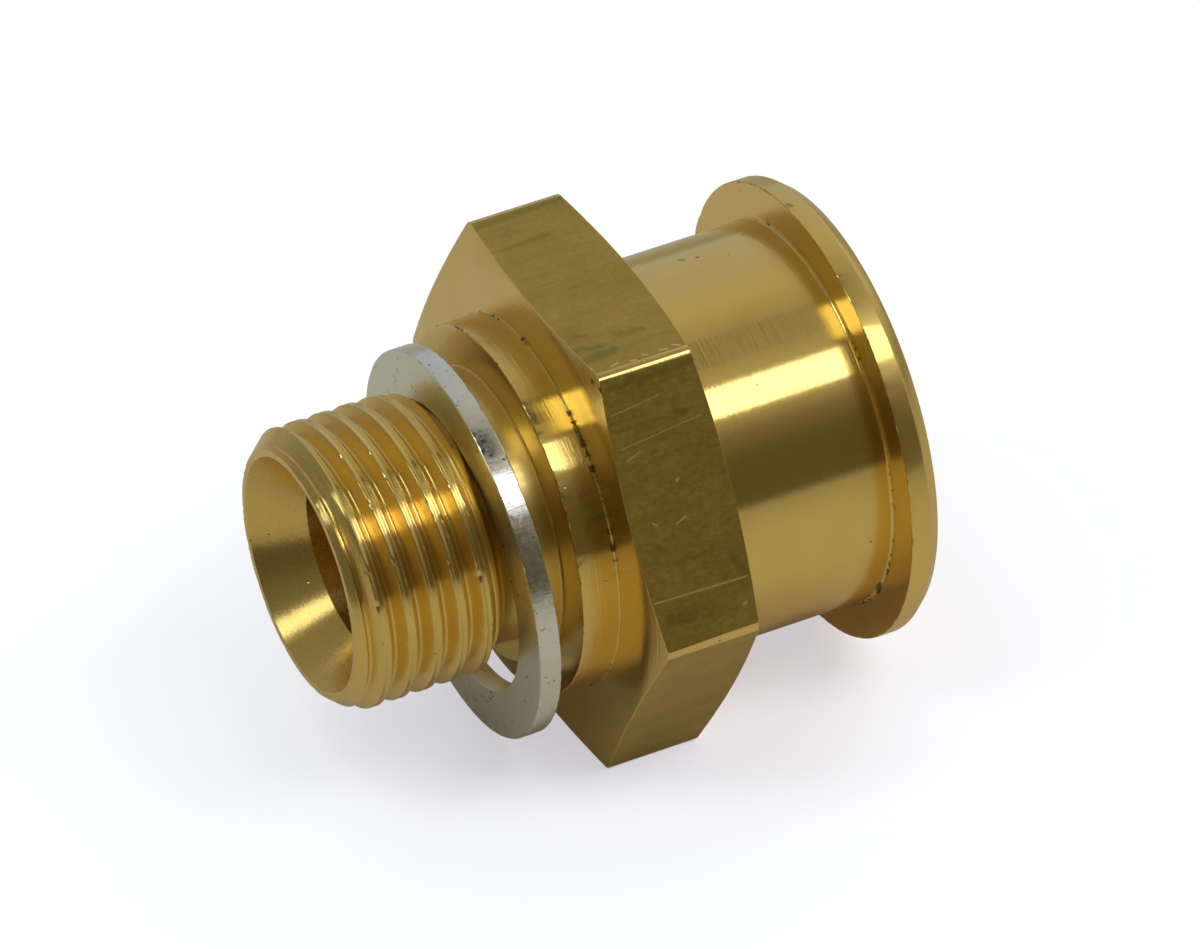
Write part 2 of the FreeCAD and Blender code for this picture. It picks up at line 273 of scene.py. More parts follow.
# The tool breaks each outer edge a little and leaves its own radius in each corner.
for station, radius, size, segments in [
        (0, MOUTH_RADIUS, 0.04, 2),
        (RELIEF_FLOOR, RELIEF_RADIUS, 0.15, 3),
        (SEAT_STATION, RELIEF_RADIUS, 0.15, 3),
        (SEAT_STATION, SEAT_RADIUS, 0.1, 2),
        (COLLAR_STATION, SEAT_RADIUS, 0.15, 3),
        (COLLAR_STATION, COLLAR_RADIUS, 0.06, 2),
        (HEXAGON_START, COLLAR_RADIUS, 0.12, 3),
        (HEXAGON_END, BARREL_RADIUS, 0.08, 2),
        (FLANGE_START, BARREL_RADIUS, 0.2, 4),
        (FLANGE_START, FLANGE_RADIUS, 0.06, 2),
        (FLANGE_RIM_END, FLANGE_RADIUS, 0.08, 2),
        (FLANGE_END, FLANGE_FACE_RADIUS, 0.08, 2)]:
    select_ring(body, station, radius)
    bpy.ops.mesh.bevel(affect="EDGES", offset=size, segments=segments)


def on_hexagon(station, radius):
    """True on the outside of the hexagon."""
    return ((station > HEXAGON_START - 0.01) & (station < HEXAGON_END + 0.01)
            & (radius > CORNER_CIRCLE - 0.01))


def cut_flat(angle, distance):
    """Cut off what stands out past a plane along the axis, at an angle from straight up."""
    outward = (0, math.sin(math.radians(angle)), math.cos(math.radians(angle)))
    select_where(body, on_hexagon)
    bpy.ops.mesh.bisect(plane_co=[distance * part for part in outward], plane_no=outward,
                        use_fill=True, clear_outer=True, threshold=0.00001)


# The hexagon is the drawn bar itself: six flats, with long corners that its die has rounded.
ROUNDING_STEPS = 5
for side in range(6):
    cut_flat(60 * side, ACROSS_FLATS / 2)
    for step in range(1, ROUNDING_STEPS):
        turn = 60 * step / ROUNDING_STEPS
        from_centre = ((ACROSS_FLATS / 2 - CORNER_ROUNDING) / math.cos(math.radians(30))
                       * math.cos(math.radians(turn - 30))
                       + CORNER_ROUNDING * math.cos(math.radians(30 / ROUNDING_STEPS)))
        cut_flat(60 * side + turn, from_centre)

# Where the turned ends of the hexagon meet the flats, the edge is broken too. It is found as the
# edge between a face that runs along the axis and one that does not.
select_where(body, on_hexagon)
bpy.ops.object.mode_set(mode="OBJECT")
normals = np.zeros(len(body.data.polygons) * 3)
body.data.polygons.foreach_get("normal", normals)
lengthwise = abs(normals.reshape(-1, 3)[:, 0]) < 0.01
sides_of_edge = {}
for face in body.data.polygons:
    middle = face.center
    if on_hexagon(middle.x, math.hypot(middle.y, middle.z) + 0.05):
        for pair in face.edge_keys:
            sides_of_edge.setdefault(pair, set()).add(bool(lengthwise[face.index]))
bpy.ops.object.mode_set(mode="EDIT")
bpy.ops.mesh.select_mode(type="EDGE")
bpy.ops.mesh.select_all(action="DESELECT")
bpy.ops.object.mode_set(mode="OBJECT")
for edge in body.data.edges:
    edge.select = len(sides_of_edge.get(edge.key, ())) == 2
bpy.ops.object.mode_set(mode="EDIT")
bpy.ops.mesh.bevel(affect="EDGES", offset=HEXAGON_BREAK, segments=2, clamp_overlap=True)
bpy.ops.object.mode_set(mode="OBJECT")


NICK_HEIGHT = 0.2
NICK_REACH = 0.5


def nick_all(piece, nicks):
    """Press small dents in towards the axis. Each has a station, radius and angle in degrees from
    straight up towards the camera, a length along the axis, a width round it, and a depth."""
    rows = places(piece)
    radii = np.hypot(rows[:, 1], rows[:, 2])
    angles = np.degrees(np.arctan2(-rows[:, 1], rows[:, 2]))
    for station, radius, angle, length, width, depth in nicks:
        near = np.flatnonzero((abs(rows[:, 0] - station) < 3 * length)
                              & (abs(radii - radius) < NICK_REACH))
        aside = np.radians((angles[near] - angle + 180) % 360 - 180) * radius / width
        along = (rows[near, 0] - station) / length
        inward = (radii[near] - radius) / NICK_HEIGHT
        fall = np.exp(-aside ** 2 - along ** 2 - inward ** 2)
        rows[near, 1:] *= (1 - depth * fall / radii[near])[:, None]
    set_places(piece, rows)


# Wear. The outer edges are nicked all round, each with its count of nicks and greatest depth. The
# crests of the thread have the most, and nine deep ones that face the camera.
random.seed(7)
nicks = []
for station, radius, count, depth in [
        (COLLAR_STATION, COLLAR_RADIUS, 90, 0.06),
        (HEXAGON_START - 0.1, COLLAR_RADIUS + 0.05, 20, 0.03),
        (FLANGE_START, FLANGE_RADIUS, 90, 0.07),
        (FLANGE_RIM_END, FLANGE_RADIUS, 50, 0.03),
        (0, RIM_RADIUS, 50, 0.06),
        (SEAT_STATION, SEAT_RADIUS, 30, 0.05)]:
    for mark in range(count):
        nicks.append((station, radius, random.uniform(0, 360), random.uniform(0.04, 0.08),
                      random.uniform(0.1, 0.2), depth * random.uniform(0.3, 1)))
CREST_NICKS = 140
for mark in range(CREST_NICKS):
    turn = random.uniform(0.8, 5)
    side = random.choice((-0.5, 0.5)) * CREST_WIDTH
    nicks.append((FIRST_GROOVE + PITCH * (turn + 0.5) + side, CREST_RADIUS, 360 * (turn % 1),
                  0.06, random.uniform(0.06, 0.14), random.uniform(0.02, 0.07)))
for crest, angle, depth in [(1, 55, 0.09), (1, 70, 0.07), (1, 86, 0.09), (2, 7, 0.1),
                            (2, 31, 0.07), (2, 55, 0.1), (2, 91, 0.09), (5, 71, 0.11),
                            (5, 97, 0.09)]:
    nicks.append((FIRST_GROOVE + PITCH * (crest - 0.5 + angle / 360) - CREST_WIDTH / 2,
                  CREST_RADIUS, angle, 0.1, 0.15, depth))
nick_all(body, nicks)

# The flats keep the skin of the drawn bar, so they get a second material.
FLAT_LEAST_AREA = 5


def flat_side(face):
    """True for the wide faces that are the flats of the hexagon."""
    across = math.hypot(face.normal.y, face.normal.z)
    return (across > 0.9999 and HEXAGON_START < face.center.x < HEXAGON_END
            and face.area > FLAT_LEAST_AREA)


CRISP_ANGLE = math.radians(28)


def finish_shading(piece):
    """Smooth shading with crisp edges, in which the wide faces keep their own direction."""
    bpy.ops.object.select_all(action="DESELECT")
    piece.select_set(True)
    bpy.context.view_layer.objects.active = piece
    bpy.ops.object.shade_smooth_by_angle(angle=CRISP_ANGLE)
    weighted = piece.modifiers.new("Crisp bands", "WEIGHTED_NORMAL")
    weighted.mode = "FACE_AREA"
    weighted.keep_sharp = True
    bpy.ops.object.modifier_apply(modifier=weighted.name)


TURNED, DRAWN = 0, 1
for face in body.data.polygons:
    face.material_index = DRAWN if flat_side(face) else TURNED
bpy.ops.object.mode_set(mode="EDIT")
bpy.ops.mesh.select_all(action="SELECT")
bpy.ops.mesh.normals_make_consistent(inside=False)
bpy.ops.object.mode_set(mode="OBJECT")
finish_shading(body)
bpy.ops.object.mode_set(mode="EDIT")
bpy.ops.mesh.select_all(action="SELECT")
bpy.ops.transform.resize(value=(0.001, 0.001, 0.001), center_override=(0, 0, 0))
AXIS_HEIGHT = ACROSS_FLATS / 2 / 1000
bpy.ops.transform.translate(value=(-FLANGE_END / 2000, 0, AXIS_HEIGHT))
bpy.ops.object.mode_set(mode="OBJECT")


def linear(code):
    """Linear colour of an sRGB hex value."""
    parts = [int(code[place:place + 2], 16) / 255 for place in (1, 3, 5)]
    return [part / 12.92 if part <= 0.04045 else ((part + 0.055) / 1.055) ** 2.4
            for part in parts] + [1]


def node(tree, kind, inputs=None, **settings):
    """Add a shader node with its settings, and fill or link its inputs."""
    made = tree.nodes.new("ShaderNode" + kind)
    for name, value in settings.items():
        setattr(made, name, value)
    for name, value in (inputs or {}).items():
        if isinstance(value, bpy.types.NodeSocket):
            tree.links.new(value, made.inputs[name])
        else:
            made.inputs[name].default_value = value
    return made


def new_tree(name):
    """A new material with an empty node tree."""
    material = bpy.data.materials.new(name)
    material.use_nodes = True
    material.node_tree.nodes.clear()
    return material, material.node_tree


def millimetres(tree):
    """Places on a piece in millimetres, with the axis at zero."""
    place = node(tree, "TexCoord")
    return node(tree, "Mapping", {"Vector": place.outputs["Object"],
                                  "Location": (0, 0, -AXIS_HEIGHT * 1000),
                                  "Scale": (1000, 1000, 1000)}).outputs[0]


def ramp(tree, value, start, end, low=0.0, high=1.0):
    """A value that goes from low to high while the input goes from start to end."""
    return node(tree, "MapRange", {"Value": value, "From Min": start, "From Max": end,
                                   "To Min": low, "To Max": high}).outputs[0]


def times(tree, first, second):
    """Two values multiplied."""
    return node(tree, "Math", {0: first, 1: second}, operation="MULTIPLY").outputs[0]


def highest(tree, values):
    """The highest of several values."""
    result = values[0]
    for value in values[1:]:
        result = node(tree, "Math", {0: result, 1: value}, operation="MAXIMUM").outputs[0]
    return result


def noise_at(tree, at, scale, stretch=(1, 1, 1), detail=2.0, roughness=0.5):
    """Noise whose cells are about 1 / scale millimetres wide, stretched by the axes."""
    stretched = node(tree, "VectorMath", {0: at, 1: stretch}, operation="MULTIPLY")
    return node(tree, "TexNoise", {"Vector": stretched.outputs[0], "Scale": scale,
                                   "Detail": detail, "Roughness": roughness}).outputs[0]


def stroke(tree, at, start, end, width, soft):
    """1 on a straight mark from start to end, fading past its width."""
    start = Vector(start)
    end = Vector(end)
    length = (end - start).length
    away = node(tree, "VectorMath", {0: at, 1: start}, operation="SUBTRACT").outputs[0]
    if length > 0:
        course = (end - start).normalized()
        reach = node(tree, "VectorMath", {0: away, 1: course}, operation="DOT_PRODUCT")
        held = node(tree, "Clamp", {"Value": reach.outputs["Value"], "Max": length})
        foot = node(tree, "VectorMath", {0: course, "Scale": held.outputs[0]}, operation="SCALE")
        away = node(tree, "VectorMath", {0: away, 1: foot.outputs[0]},
                    operation="SUBTRACT").outputs[0]
    far = node(tree, "VectorMath", {0: away}, operation="LENGTH").outputs["Value"]
    return ramp(tree, far, width, width + soft, 1.0, 0.0)


def x_of(station):
    """A station as a distance from the middle of the fitting's length."""
    return station - FLANGE_END / 2


def on_flat(side, station, across):
    """A place on a flat of the hexagon, in millimetres from the middle of the axis."""
    turn = math.radians(60 * side)
    return (x_of(station),
            -ACROSS_FLATS / 2 * math.sin(turn) - across * math.cos(turn),
            ACROSS_FLATS / 2 * math.cos(turn) - across * math.sin(turn))


def on_round(station, radius, angle):
    """A place on a turned face, in millimetres from the middle of the axis."""
    turn = math.radians(angle)
    return (x_of(station), -radius * math.sin(turn), radius * math.cos(turn))


def scattered(tree, at, scale, size, share):
    """Round spots in cells about 1 / scale millimetres wide. Only some cells have one."""
    cells = node(tree, "TexVoronoi", {"Vector": at, "Scale": scale})
    chance = node(tree, "SeparateColor", {0: cells.outputs["Color"]})
    return times(tree, ramp(tree, cells.outputs["Distance"], size, 0.075, 1.0, 0.0),
                 ramp(tree, chance.outputs[0], share, share + 0.02))


# Turned brass, free-cutting bar fresh from the lathe: bright, with fine marks of the tool round it
# that smear each reflection along the axis, and a few specks and stains. The feed of the tool is
# too fine to show, so its marks are drawn 0.2 mm apart.
# Two bands, each a middle station and a half width, are duller: the rim of the flange, and the
# relief and seat, which lie deep.
MARKS_SCALE = 5.0
RIDGES_SCALE = 9.0
MARKS_HEIGHT = 0.000007
RIM_BAND = (30.9, 0.56)
RECESS_BAND = (9.9, 1.93)
turned_brass, tree = new_tree("turned_brass")
at = millimetres(tree)
parts = node(tree, "SeparateXYZ", {0: at})
place_x = parts.outputs[0]
round_part = node(tree, "CombineXYZ", {1: parts.outputs[1], 2: parts.outputs[2]})
from_axis = node(tree, "VectorMath", {0: round_part.outputs[0]},
                 operation="LENGTH").outputs["Value"]
direction = node(tree, "VectorMath", {0: round_part.outputs[0]}, operation="NORMALIZE")
tangent = node(tree, "VectorMath", {0: (1, 0, 0), 1: direction.outputs[0]},
               operation="CROSS_PRODUCT")
along = node(tree, "Math", {0: place_x, 1: from_axis}, operation="ADD")
along_only = node(tree, "CombineXYZ", {0: along.outputs[0]})
short_round = node(tree, "VectorMath", {0: direction.outputs[0], 1: (1, 0.8, 0.8)},
                   operation="MULTIPLY")
marks_at = node(tree, "VectorMath", {0: along_only.outputs[0], 1: short_round.outputs[0]},
                operation="ADD")
marks = noise_at(tree, marks_at.outputs[0], MARKS_SCALE, detail=4.0, roughness=0.7)
ridges = noise_at(tree, marks_at.outputs[0], RIDGES_SCALE, detail=1.0)
lead_in = times(tree, ramp(tree, place_x, x_of(LEAD_IN_LENGTH), x_of(LEAD_IN_LENGTH + 0.1),
                           1.0, 0.0),
                ramp(tree, from_axis, RIM_RADIUS, RIM_RADIUS + 0.05))
by_hexagon = times(tree, ramp(tree, place_x, x_of(HEXAGON_END + 0.5), x_of(HEXAGON_END + 3.5),
                              2.0, 1.0), marks)
height = node(tree, "Math", {0: times(tree, ridges, lead_in), 1: 2.5, 2: by_hexagon},
              operation="MULTIPLY_ADD")
pocks = scattered(tree, at, 0.8, 0.02, 0.6)
height = node(tree, "Math", {0: pocks, 1: -3.0, 2: height.outputs[0]},
              operation="MULTIPLY_ADD")
marks_bump = node(tree, "Bump", {"Height": height.outputs[0], "Distance": MARKS_HEIGHT,
                                 "Strength": 1.0})
specks = scattered(tree, at, 0.7, 0.03, 0.72)


def near(tree, value, middle, half):
    """1 where a value is close to a middle, fading just past half."""
    aside = node(tree, "Math", {0: value, 1: middle}, operation="SUBTRACT")
    off = node(tree, "Math", {0: aside.outputs[0]}, operation="ABSOLUTE")
    return ramp(tree, off.outputs[0], half, half + 0.04, 1.0, 0.0)


def arc(tree, middle, half):
    """1 between two angles round the axis, fading over ten degrees outside them."""
    turn = math.radians(middle)
    toward = node(tree, "VectorMath", {0: direction.outputs[0],
                                       1: (0, -math.sin(turn), math.cos(turn))},
                  operation="DOT_PRODUCT").outputs["Value"]
    return ramp(tree, toward, math.cos(math.radians(half + 10)), math.cos(math.radians(half)))


def edge_specks(tree, at, station, radius, share, width=0.06):
    """Specks of uneven size and distance in a row round an edge."""
    row = times(tree, near(tree, place_x, x_of(station), width),
                near(tree, from_axis, radius, width))
    uneven = node(tree, "Math", {0: noise_at(tree, at, 2.6, detail=3.0, roughness=0.6), 1: 0.6,
                                 2: times(tree, noise_at(tree, at, 0.45, detail=1.0), 0.4)},
                  operation="MULTIPLY_ADD").outputs[0]
    return times(tree, row, ramp(tree, uneven, share, share + 0.05))


rim = times(tree, near(tree, place_x, x_of(RIM_BAND[0]), RIM_BAND[1]),
            ramp(tree, from_axis, FLANGE_RADIUS - 0.1, FLANGE_RADIUS - 0.05, 0.0, 0.4))
# The relief and seat: hazier below, and darkened as painted shade in the grime list.
recess = times(tree, near(tree, place_x, x_of(RECESS_BAND[0]), RECESS_BAND[1]),
               ramp(tree, from_axis, SEAT_RADIUS + 0.1, SEAT_RADIUS + 0.2, 1.0, 0.0))
# Painted shade on the face of the shoulder behind the washer, down into its corner with the seat.
painted_shade_on_shoulder = times(tree, near(tree, place_x, x_of(COLLAR_STATION), 0.1),
                 ramp(tree, from_axis, COLLAR_RADIUS - 0.2, COLLAR_RADIUS - 0.1, 0.13, 0.0))
smudges = noise_at(tree, at, 1.0, stretch=(0.5, 2.2, 2.2), detail=3.0)

# Grime lies in specks all over, and most along the edges and feet of the turned steps. The relief
# and seat, and the face of the shoulder behind the washer, are darkened evenly with the same brown
# as painted shade. The last rows are single marks, by station, radius and angle.
grime_and_painted_shade = highest(tree, [
    times(tree, specks, 0.7),
    times(tree, recess, 0.16),
    painted_shade_on_shoulder,
    edge_specks(tree, at, HEXAGON_START - 0.05, COLLAR_RADIUS + 0.04, 0.55),
    times(tree, arc(tree, 45, 25), edge_specks(
        tree, at, HEXAGON_START - 0.08, COLLAR_RADIUS + 0.04, 0.515, 0.08)),
    times(tree, times(tree, arc(tree, 60, 12), ramp(tree, smudges, 0.5, 0.7, 0.0, 0.45)),
          times(tree, near(tree, place_x, x_of(13.35), 0.6),
                near(tree, from_axis, COLLAR_RADIUS, 0.1))),
    edge_specks(tree, at, COLLAR_STATION, COLLAR_RADIUS, 0.57),
    edge_specks(tree, at, FLANGE_START, BARREL_RADIUS + 0.1, 0.54),
    edge_specks(tree, at, FLANGE_START, FLANGE_RADIUS, 0.56),
    *[stroke(tree, at, on_round(*start), on_round(*end), width, soft)
      for start, end, width, soft in [
          ((14.22, 14.8, 29.3), (14.22, 14.85, 29.6), 0.1, 0.08),
          ((14.3, 15.2, 32.0), (14.3, 15.25, 32.5), 0.1, 0.08),
          ((30.1, 11.0, 118), (30.25, 11.05, 124), 0.1, 0.06),
          ((24.5, BARREL_RADIUS, -15), (24.7, BARREL_RADIUS, -14), 0.03, 0.08),
          ((25.4, BARREL_RADIUS, -13), (25.5, BARREL_RADIUS, -13), 0.03, 0.08),
          ((30.5, FLANGE_RADIUS, -7), (30.6, FLANGE_RADIUS, -6), 0.1, 0.1)]]])
cloud = noise_at(tree, at, 0.35, detail=3.0)
grain = noise_at(tree, at, 6.0, detail=2.0)
inside = ramp(tree, from_axis, MOUTH_RADIUS, MOUTH_RADIUS + 0.05, 0.13, 0.0)
threaded = ramp(tree, place_x, x_of(RELIEF_START), x_of(RELIEF_START) + 0.05, 0.07, 0.0)
coarser = highest(tree, [inside, threaded])
gloss = node(tree, "Math", {0: ramp(tree, cloud, 0.3, 0.7, 0.115, 0.14), 1: coarser},
             operation="ADD")
gloss = node(tree, "Math", {0: gloss.outputs[0], 1: ramp(tree, grain, 0.35, 0.65, -0.01, 0.02)},
             operation="ADD")
rough = node(tree, "Mix", {0: grime_and_painted_shade, 2: gloss.outputs[0], 3: 0.4})
tone = node(tree, "Mix", {0: ramp(tree, cloud, 0.35, 0.7), 6: linear("#F1D17B"),
                          7: linear("#EDCB74")}, data_type="RGBA")
# The dark brown is grime, and painted shade in the relief, on the seat and on the shoulder face.
soiled_and_shaded = node(tree, "Mix", {0: grime_and_painted_shade, 6: tone.outputs[2], 7: linear("#4A3512")},
              data_type="RGBA")
brass = node(tree, "BsdfPrincipled", {
    "Base Color": soiled_and_shaded.outputs[2], "Metallic": 1.0, "Roughness": rough.outputs[0],
    "Anisotropic": 0.9, "Anisotropic Rotation": 0.25, "Tangent": tangent.outputs[0],
    "Normal": marks_bump.outputs[0]})
hazy = node(tree, "BsdfPrincipled", {
    "Base Color": linear("#F1D17B"), "Metallic": 1.0, "Roughness": 0.32})
haze = node(tree, "Math", {0: highest(tree, [times(tree, recess, 0.7), rim]), 1: 0.15},
            operation="ADD")
turned = node(tree, "MixShader", {0: haze.outputs[0], 1: brass.outputs[0], 2: hazy.outputs[0]})
node(tree, "OutputMaterial", {0: turned.outputs[0]})

# Drawn brass: the flats keep the duller skin of the bar, with lines from the die along it, stains
# of old oil, and scratches and dents from lying among others. Light flecks along the edge of the
# top flat by its long corner are a painted highlight, the broken edge of the glint on that corner.
# The lines are drawn about 0.2 mm apart, since real ones would not show.
LINES_HEIGHT = 0.000008
drawn_brass, tree = new_tree("drawn_brass")
at = millimetres(tree)
lines = noise_at(tree, at, 1.0, stretch=(0.3, 6, 6), detail=3.0)
streaks = noise_at(tree, at, 1.0, stretch=(0.12, 3.6, 3.6), detail=3.0, roughness=0.6)
blots = noise_at(tree, at, 4.5, stretch=(0.7, 1, 1), detail=5.0, roughness=0.75)
clouds = noise_at(tree, at, 0.5, stretch=(0.7, 1, 1), detail=2.0)
lines_bump = node(tree, "Bump", {"Height": lines, "Distance": LINES_HEIGHT})
wobble = node(tree, "TexNoise", {"Vector": at, "Scale": 1.6, "Detail": 3.0})
loose = node(tree, "VectorMath", {0: wobble.outputs["Color"], 1: (0.7, 0.7, 0.7), 2: at},
             operation="MULTIPLY_ADD")
loose = node(tree, "VectorMath", {0: loose.outputs[0], 1: (0.35, 0.35, 0.35)},
             operation="SUBTRACT").outputs[0]


def marks_on_flat(tree, at, side, soft, marks):
    """Straight marks on a flat of the hexagon. Each has a start and an end, given as a station and
    a distance from the middle of the flat, and half a width."""
    return highest(tree, [stroke(tree, at, on_flat(side, *start), on_flat(side, *end), width, soft)
                          for start, end, width in marks])


stains = marks_on_flat(tree, loose, 0, 0.35, [
    ((14.4, 5.2), (15.6, 5.5), 0.1),
    ((14.5, 6.2), (16.2, 6.0), 0.15),
    ((16.9, 4.9), (18.2, 5.1), 0.02),
    ((14.6, 3.9), (15.3, 4.2), 0.02),
    ((14.4, -7.0), (19.6, -7.2), 0.05),
    ((15.0, -4.5), (17.6, -4.6), 0.0)])
patches = marks_on_flat(tree, loose, 1, 0.25, [
    ((14.9, 5.9), (16.3, 5.95), 0.25),
    ((14.8, -7.0), (19.6, -7.1), 0.1),
    ((15.9, 3.1), (17.8, 3.0), 0.0),
    ((15.3, 1.9), (15.4, 2.2), 0.05),
    ((19.2, 3.4), (19.7, 4.6), 0.05),
    ((18.3, -4.7), (18.6, -4.7), 0.05)])
scratches = marks_on_flat(tree, at, 1, 0.04, [
    ((14.3, 4.76), (19.75, 4.9), 0.03),
    ((14.75, -3.0), (15.6, -3.3), 0.03),
    ((16.6, 1.0), (17.2, 0.8), 0.035),
    ((19.2, 6.3), (19.35, 6.25), 0.07),
    ((14.5, -5.6), (17.4, -5.9), 0.01),
    ((14.6, -3.7), (19.5, -4.2), 0.005),
    ((17.2, -1.2), (17.35, -1.3), 0.05),
    ((15.3, 0.6), (15.5, 0.75), 0.03)])
# Light flecks along the top flat's long corner are a painted highlight: the broken edge of its
# glint.
painted_glints = marks_on_flat(tree, at, 0, 0.06, [
    ((14.35, 6.9), (14.2, 7.4), 0.03),
    ((15.4, 7.25), (15.8, 7.15), 0.03),
    ((16.5, 7.3), (16.8, 7.35), 0.03),
    ((17.3, 7.1), (17.5, 7.25), 0.03),
    ((18.3, 7.2), (18.7, 7.3), 0.03),
    ((19.1, 7.1), (19.4, 7.3), 0.03)])
scratches_and_painted_glints = highest(tree, [scratches, painted_glints])
long_edge = stroke(tree, loose, on_flat(1, 14.2, 7.75), on_flat(1, 19.9, 7.8), 0.12, 0.12)
nicked = times(tree, long_edge, ramp(tree, noise_at(tree, at, 2.5, detail=2.0), 0.4, 0.5))
shade = times(tree, ramp(tree, streaks, 0.3, 0.7, 0.95, 1.05),
              ramp(tree, blots, 0.3, 0.7, 0.88, 1.12))
shade = times(tree, shade, ramp(tree, clouds, 0.3, 0.7, 0.92, 1.08))
worn = node(tree, "VectorMath", {0: linear("#C0A450")[:3], "Scale": shade}, operation="SCALE")
stained = node(tree, "Mix", {0: times(tree, highest(tree, [stains, patches]), 0.3),
                             6: worn.outputs[0], 7: linear("#4B4628")}, data_type="RGBA")
edged = node(tree, "Mix", {0: times(tree, nicked, 0.7), 6: stained.outputs[2],
                           7: linear("#3A2A10")}, data_type="RGBA")
# The light brass marks are scratches, and the painted glints by the corner.
scratches_and_glints_mixed = node(tree, "Mix", {0: times(tree, scratches_and_painted_glints, 0.75), 6: edged.outputs[2],
                               7: linear("#F6E6A4")}, data_type="RGBA")
brass = node(tree, "BsdfPrincipled", {
    "Base Color": scratches_and_glints_mixed.outputs[2], "Metallic": 1.0,
    "Roughness": ramp(tree, blots, 0.3, 0.7, 0.38, 0.46), "Normal": lines_bump.outputs[0]})
node(tree, "OutputMaterial", {0: brass.outputs[0]})
body.data.materials.append(turned_brass)
body.data.materials.append(drawn_brass)
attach(body, "root")
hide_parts("adapter_body")

# Sealing washer. Stamped from aluminium sheet and trued on its rim, it hangs loose by the top of
# its hole in the relief, and leans a little.
WASHER_HOLE = 8.3
WASHER_RADIUS = 11.05
WASHER_THICKNESS = 1.25
WASHER_STATION = 9.12
WASHER_LEAN = math.radians(1.8)
WASHER_SWING = math.radians(1.0)
HANGING_GAP = 0.02
WASHER_DROP = WASHER_HOLE - RELIEF_RADIUS - HANGING_GAP
WASHER_NICKS = 160
bpy.ops.object.select_all(action="DESELECT")
bpy.ops.mesh.primitive_circle_add(vertices=STEPS_PER_TURN, radius=WASHER_HOLE,
                                  rotation=(0, math.radians(90), 0))
washer = bpy.context.object
washer.name = "sealing_washer_stamped"
bpy.ops.object.transform_apply(location=True, rotation=True, scale=True)
bpy.ops.object.mode_set(mode="EDIT")
bpy.ops.mesh.select_all(action="SELECT")
draw_rings((0, WASHER_HOLE), [
    (0, WASHER_RADIUS),
    (WASHER_THICKNESS, WASHER_RADIUS),
    (WASHER_THICKNESS, WASHER_HOLE),
    (0, WASHER_HOLE),
], RING_STEP)
bpy.ops.mesh.select_all(action="SELECT")
bpy.ops.mesh.remove_doubles(threshold=MERGE_WITHIN)
bpy.ops.mesh.normals_make_consistent(inside=False)
for station, radius, size, segments in [
        (0, WASHER_HOLE, 0.05, 2),
        (0, WASHER_RADIUS, 0.08, 2),
        (WASHER_THICKNESS, WASHER_RADIUS, 0.08, 2),
        (WASHER_THICKNESS, WASHER_HOLE, 0.05, 2)]:
    select_ring(washer, station, radius)
    bpy.ops.mesh.bevel(affect="EDGES", offset=size, segments=segments)
bpy.ops.object.mode_set(mode="OBJECT")
lean = (Matrix.Translation((x_of(WASHER_STATION), 0, ACROSS_FLATS / 2 - WASHER_DROP))
        @ Matrix.Rotation(-WASHER_LEAN, 4, "Y") @ Matrix.Rotation(-WASHER_SWING, 4, "Z"))
nick_all(washer, [
    (random.choice((0, WASHER_THICKNESS)), WASHER_RADIUS, random.uniform(0, 360), 0.06,
     random.uniform(0.08, 0.16), random.uniform(0.01, 0.04)) for mark in range(WASHER_NICKS)])
finish_shading(washer)
washer.data.transform(Matrix.Scale(0.001, 4) @ lean)

# Soft aluminium, satin on the rolled faces and brighter on the rim, where the tool ran round it.
RIPPLE_HEIGHT = 0.000006
aluminium, tree = new_tree("aluminium_sheet")
at = millimetres(tree)
pits = noise_at(tree, at, 2.6, detail=3.0, roughness=0.6)
spots = ramp(tree, pits, 0.64, 0.7)
tone = node(tree, "Mix", {0: spots, 6: linear("#ECEADB"), 7: linear("#8E8C7C")},
            data_type="RGBA")
ripple = noise_at(tree, at, 1.0, stretch=(0.6, 5, 5), detail=3.0)
ripple_bump = node(tree, "Bump", {"Height": ripple, "Distance": RIPPLE_HEIGHT})
from_middle = node(tree, "VectorMath", {0: at, 1: (0, 0, WASHER_DROP)}, operation="ADD")
from_middle = node(tree, "VectorMath", {0: from_middle.outputs[0], 1: (0, 1, 1)},
                   operation="MULTIPLY")
washer_out = node(tree, "VectorMath", {0: from_middle.outputs[0]}, operation="LENGTH")
satin = ramp(tree, washer_out.outputs["Value"], WASHER_RADIUS - 0.1, WASHER_RADIUS - 0.04,
             0.3, 0.0)
metal = node(tree, "BsdfPrincipled", {
    "Base Color": tone.outputs[2], "Metallic": 1.0,
    "Roughness": highest(tree, [satin, ramp(tree, pits, 0.35, 0.7, 0.13, 0.3)]),
    "Normal": ripple_bump.outputs[0]})
node(tree, "OutputMaterial", {0: metal.outputs[0]})
washer.data.materials.append(aluminium)
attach(washer, "root")
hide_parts("sealing_washer")

# Floor: a wide sheet of matt white paper. The camera sees it white and still shadowed. The metal
# sees a small share of that white, since the full share would wash it out, and otherwise a paper
# with light and shade painted into its colour: a painted pool of light, warm near the object and
# darker further off, painted shade towards the threaded end, and painted light behind the object.
GLOSSY_SHARE_OF_PAPER = 0.05


def shown(tree, glossy_share):
    """1 on rays from the camera and through glass, and a share of it on rays off metal."""
    ray = node(tree, "LightPath")
    bright_ray = node(tree, "Math", {0: ray.outputs["Is Glossy Ray"], 1: glossy_share,
                                     2: ray.outputs["Is Camera Ray"]}, operation="MULTIPLY_ADD")
    return node(tree, "Math", {0: ray.outputs["Is Transmission Ray"], 1: bright_ray.outputs[0]},
                operation="ADD").outputs[0]


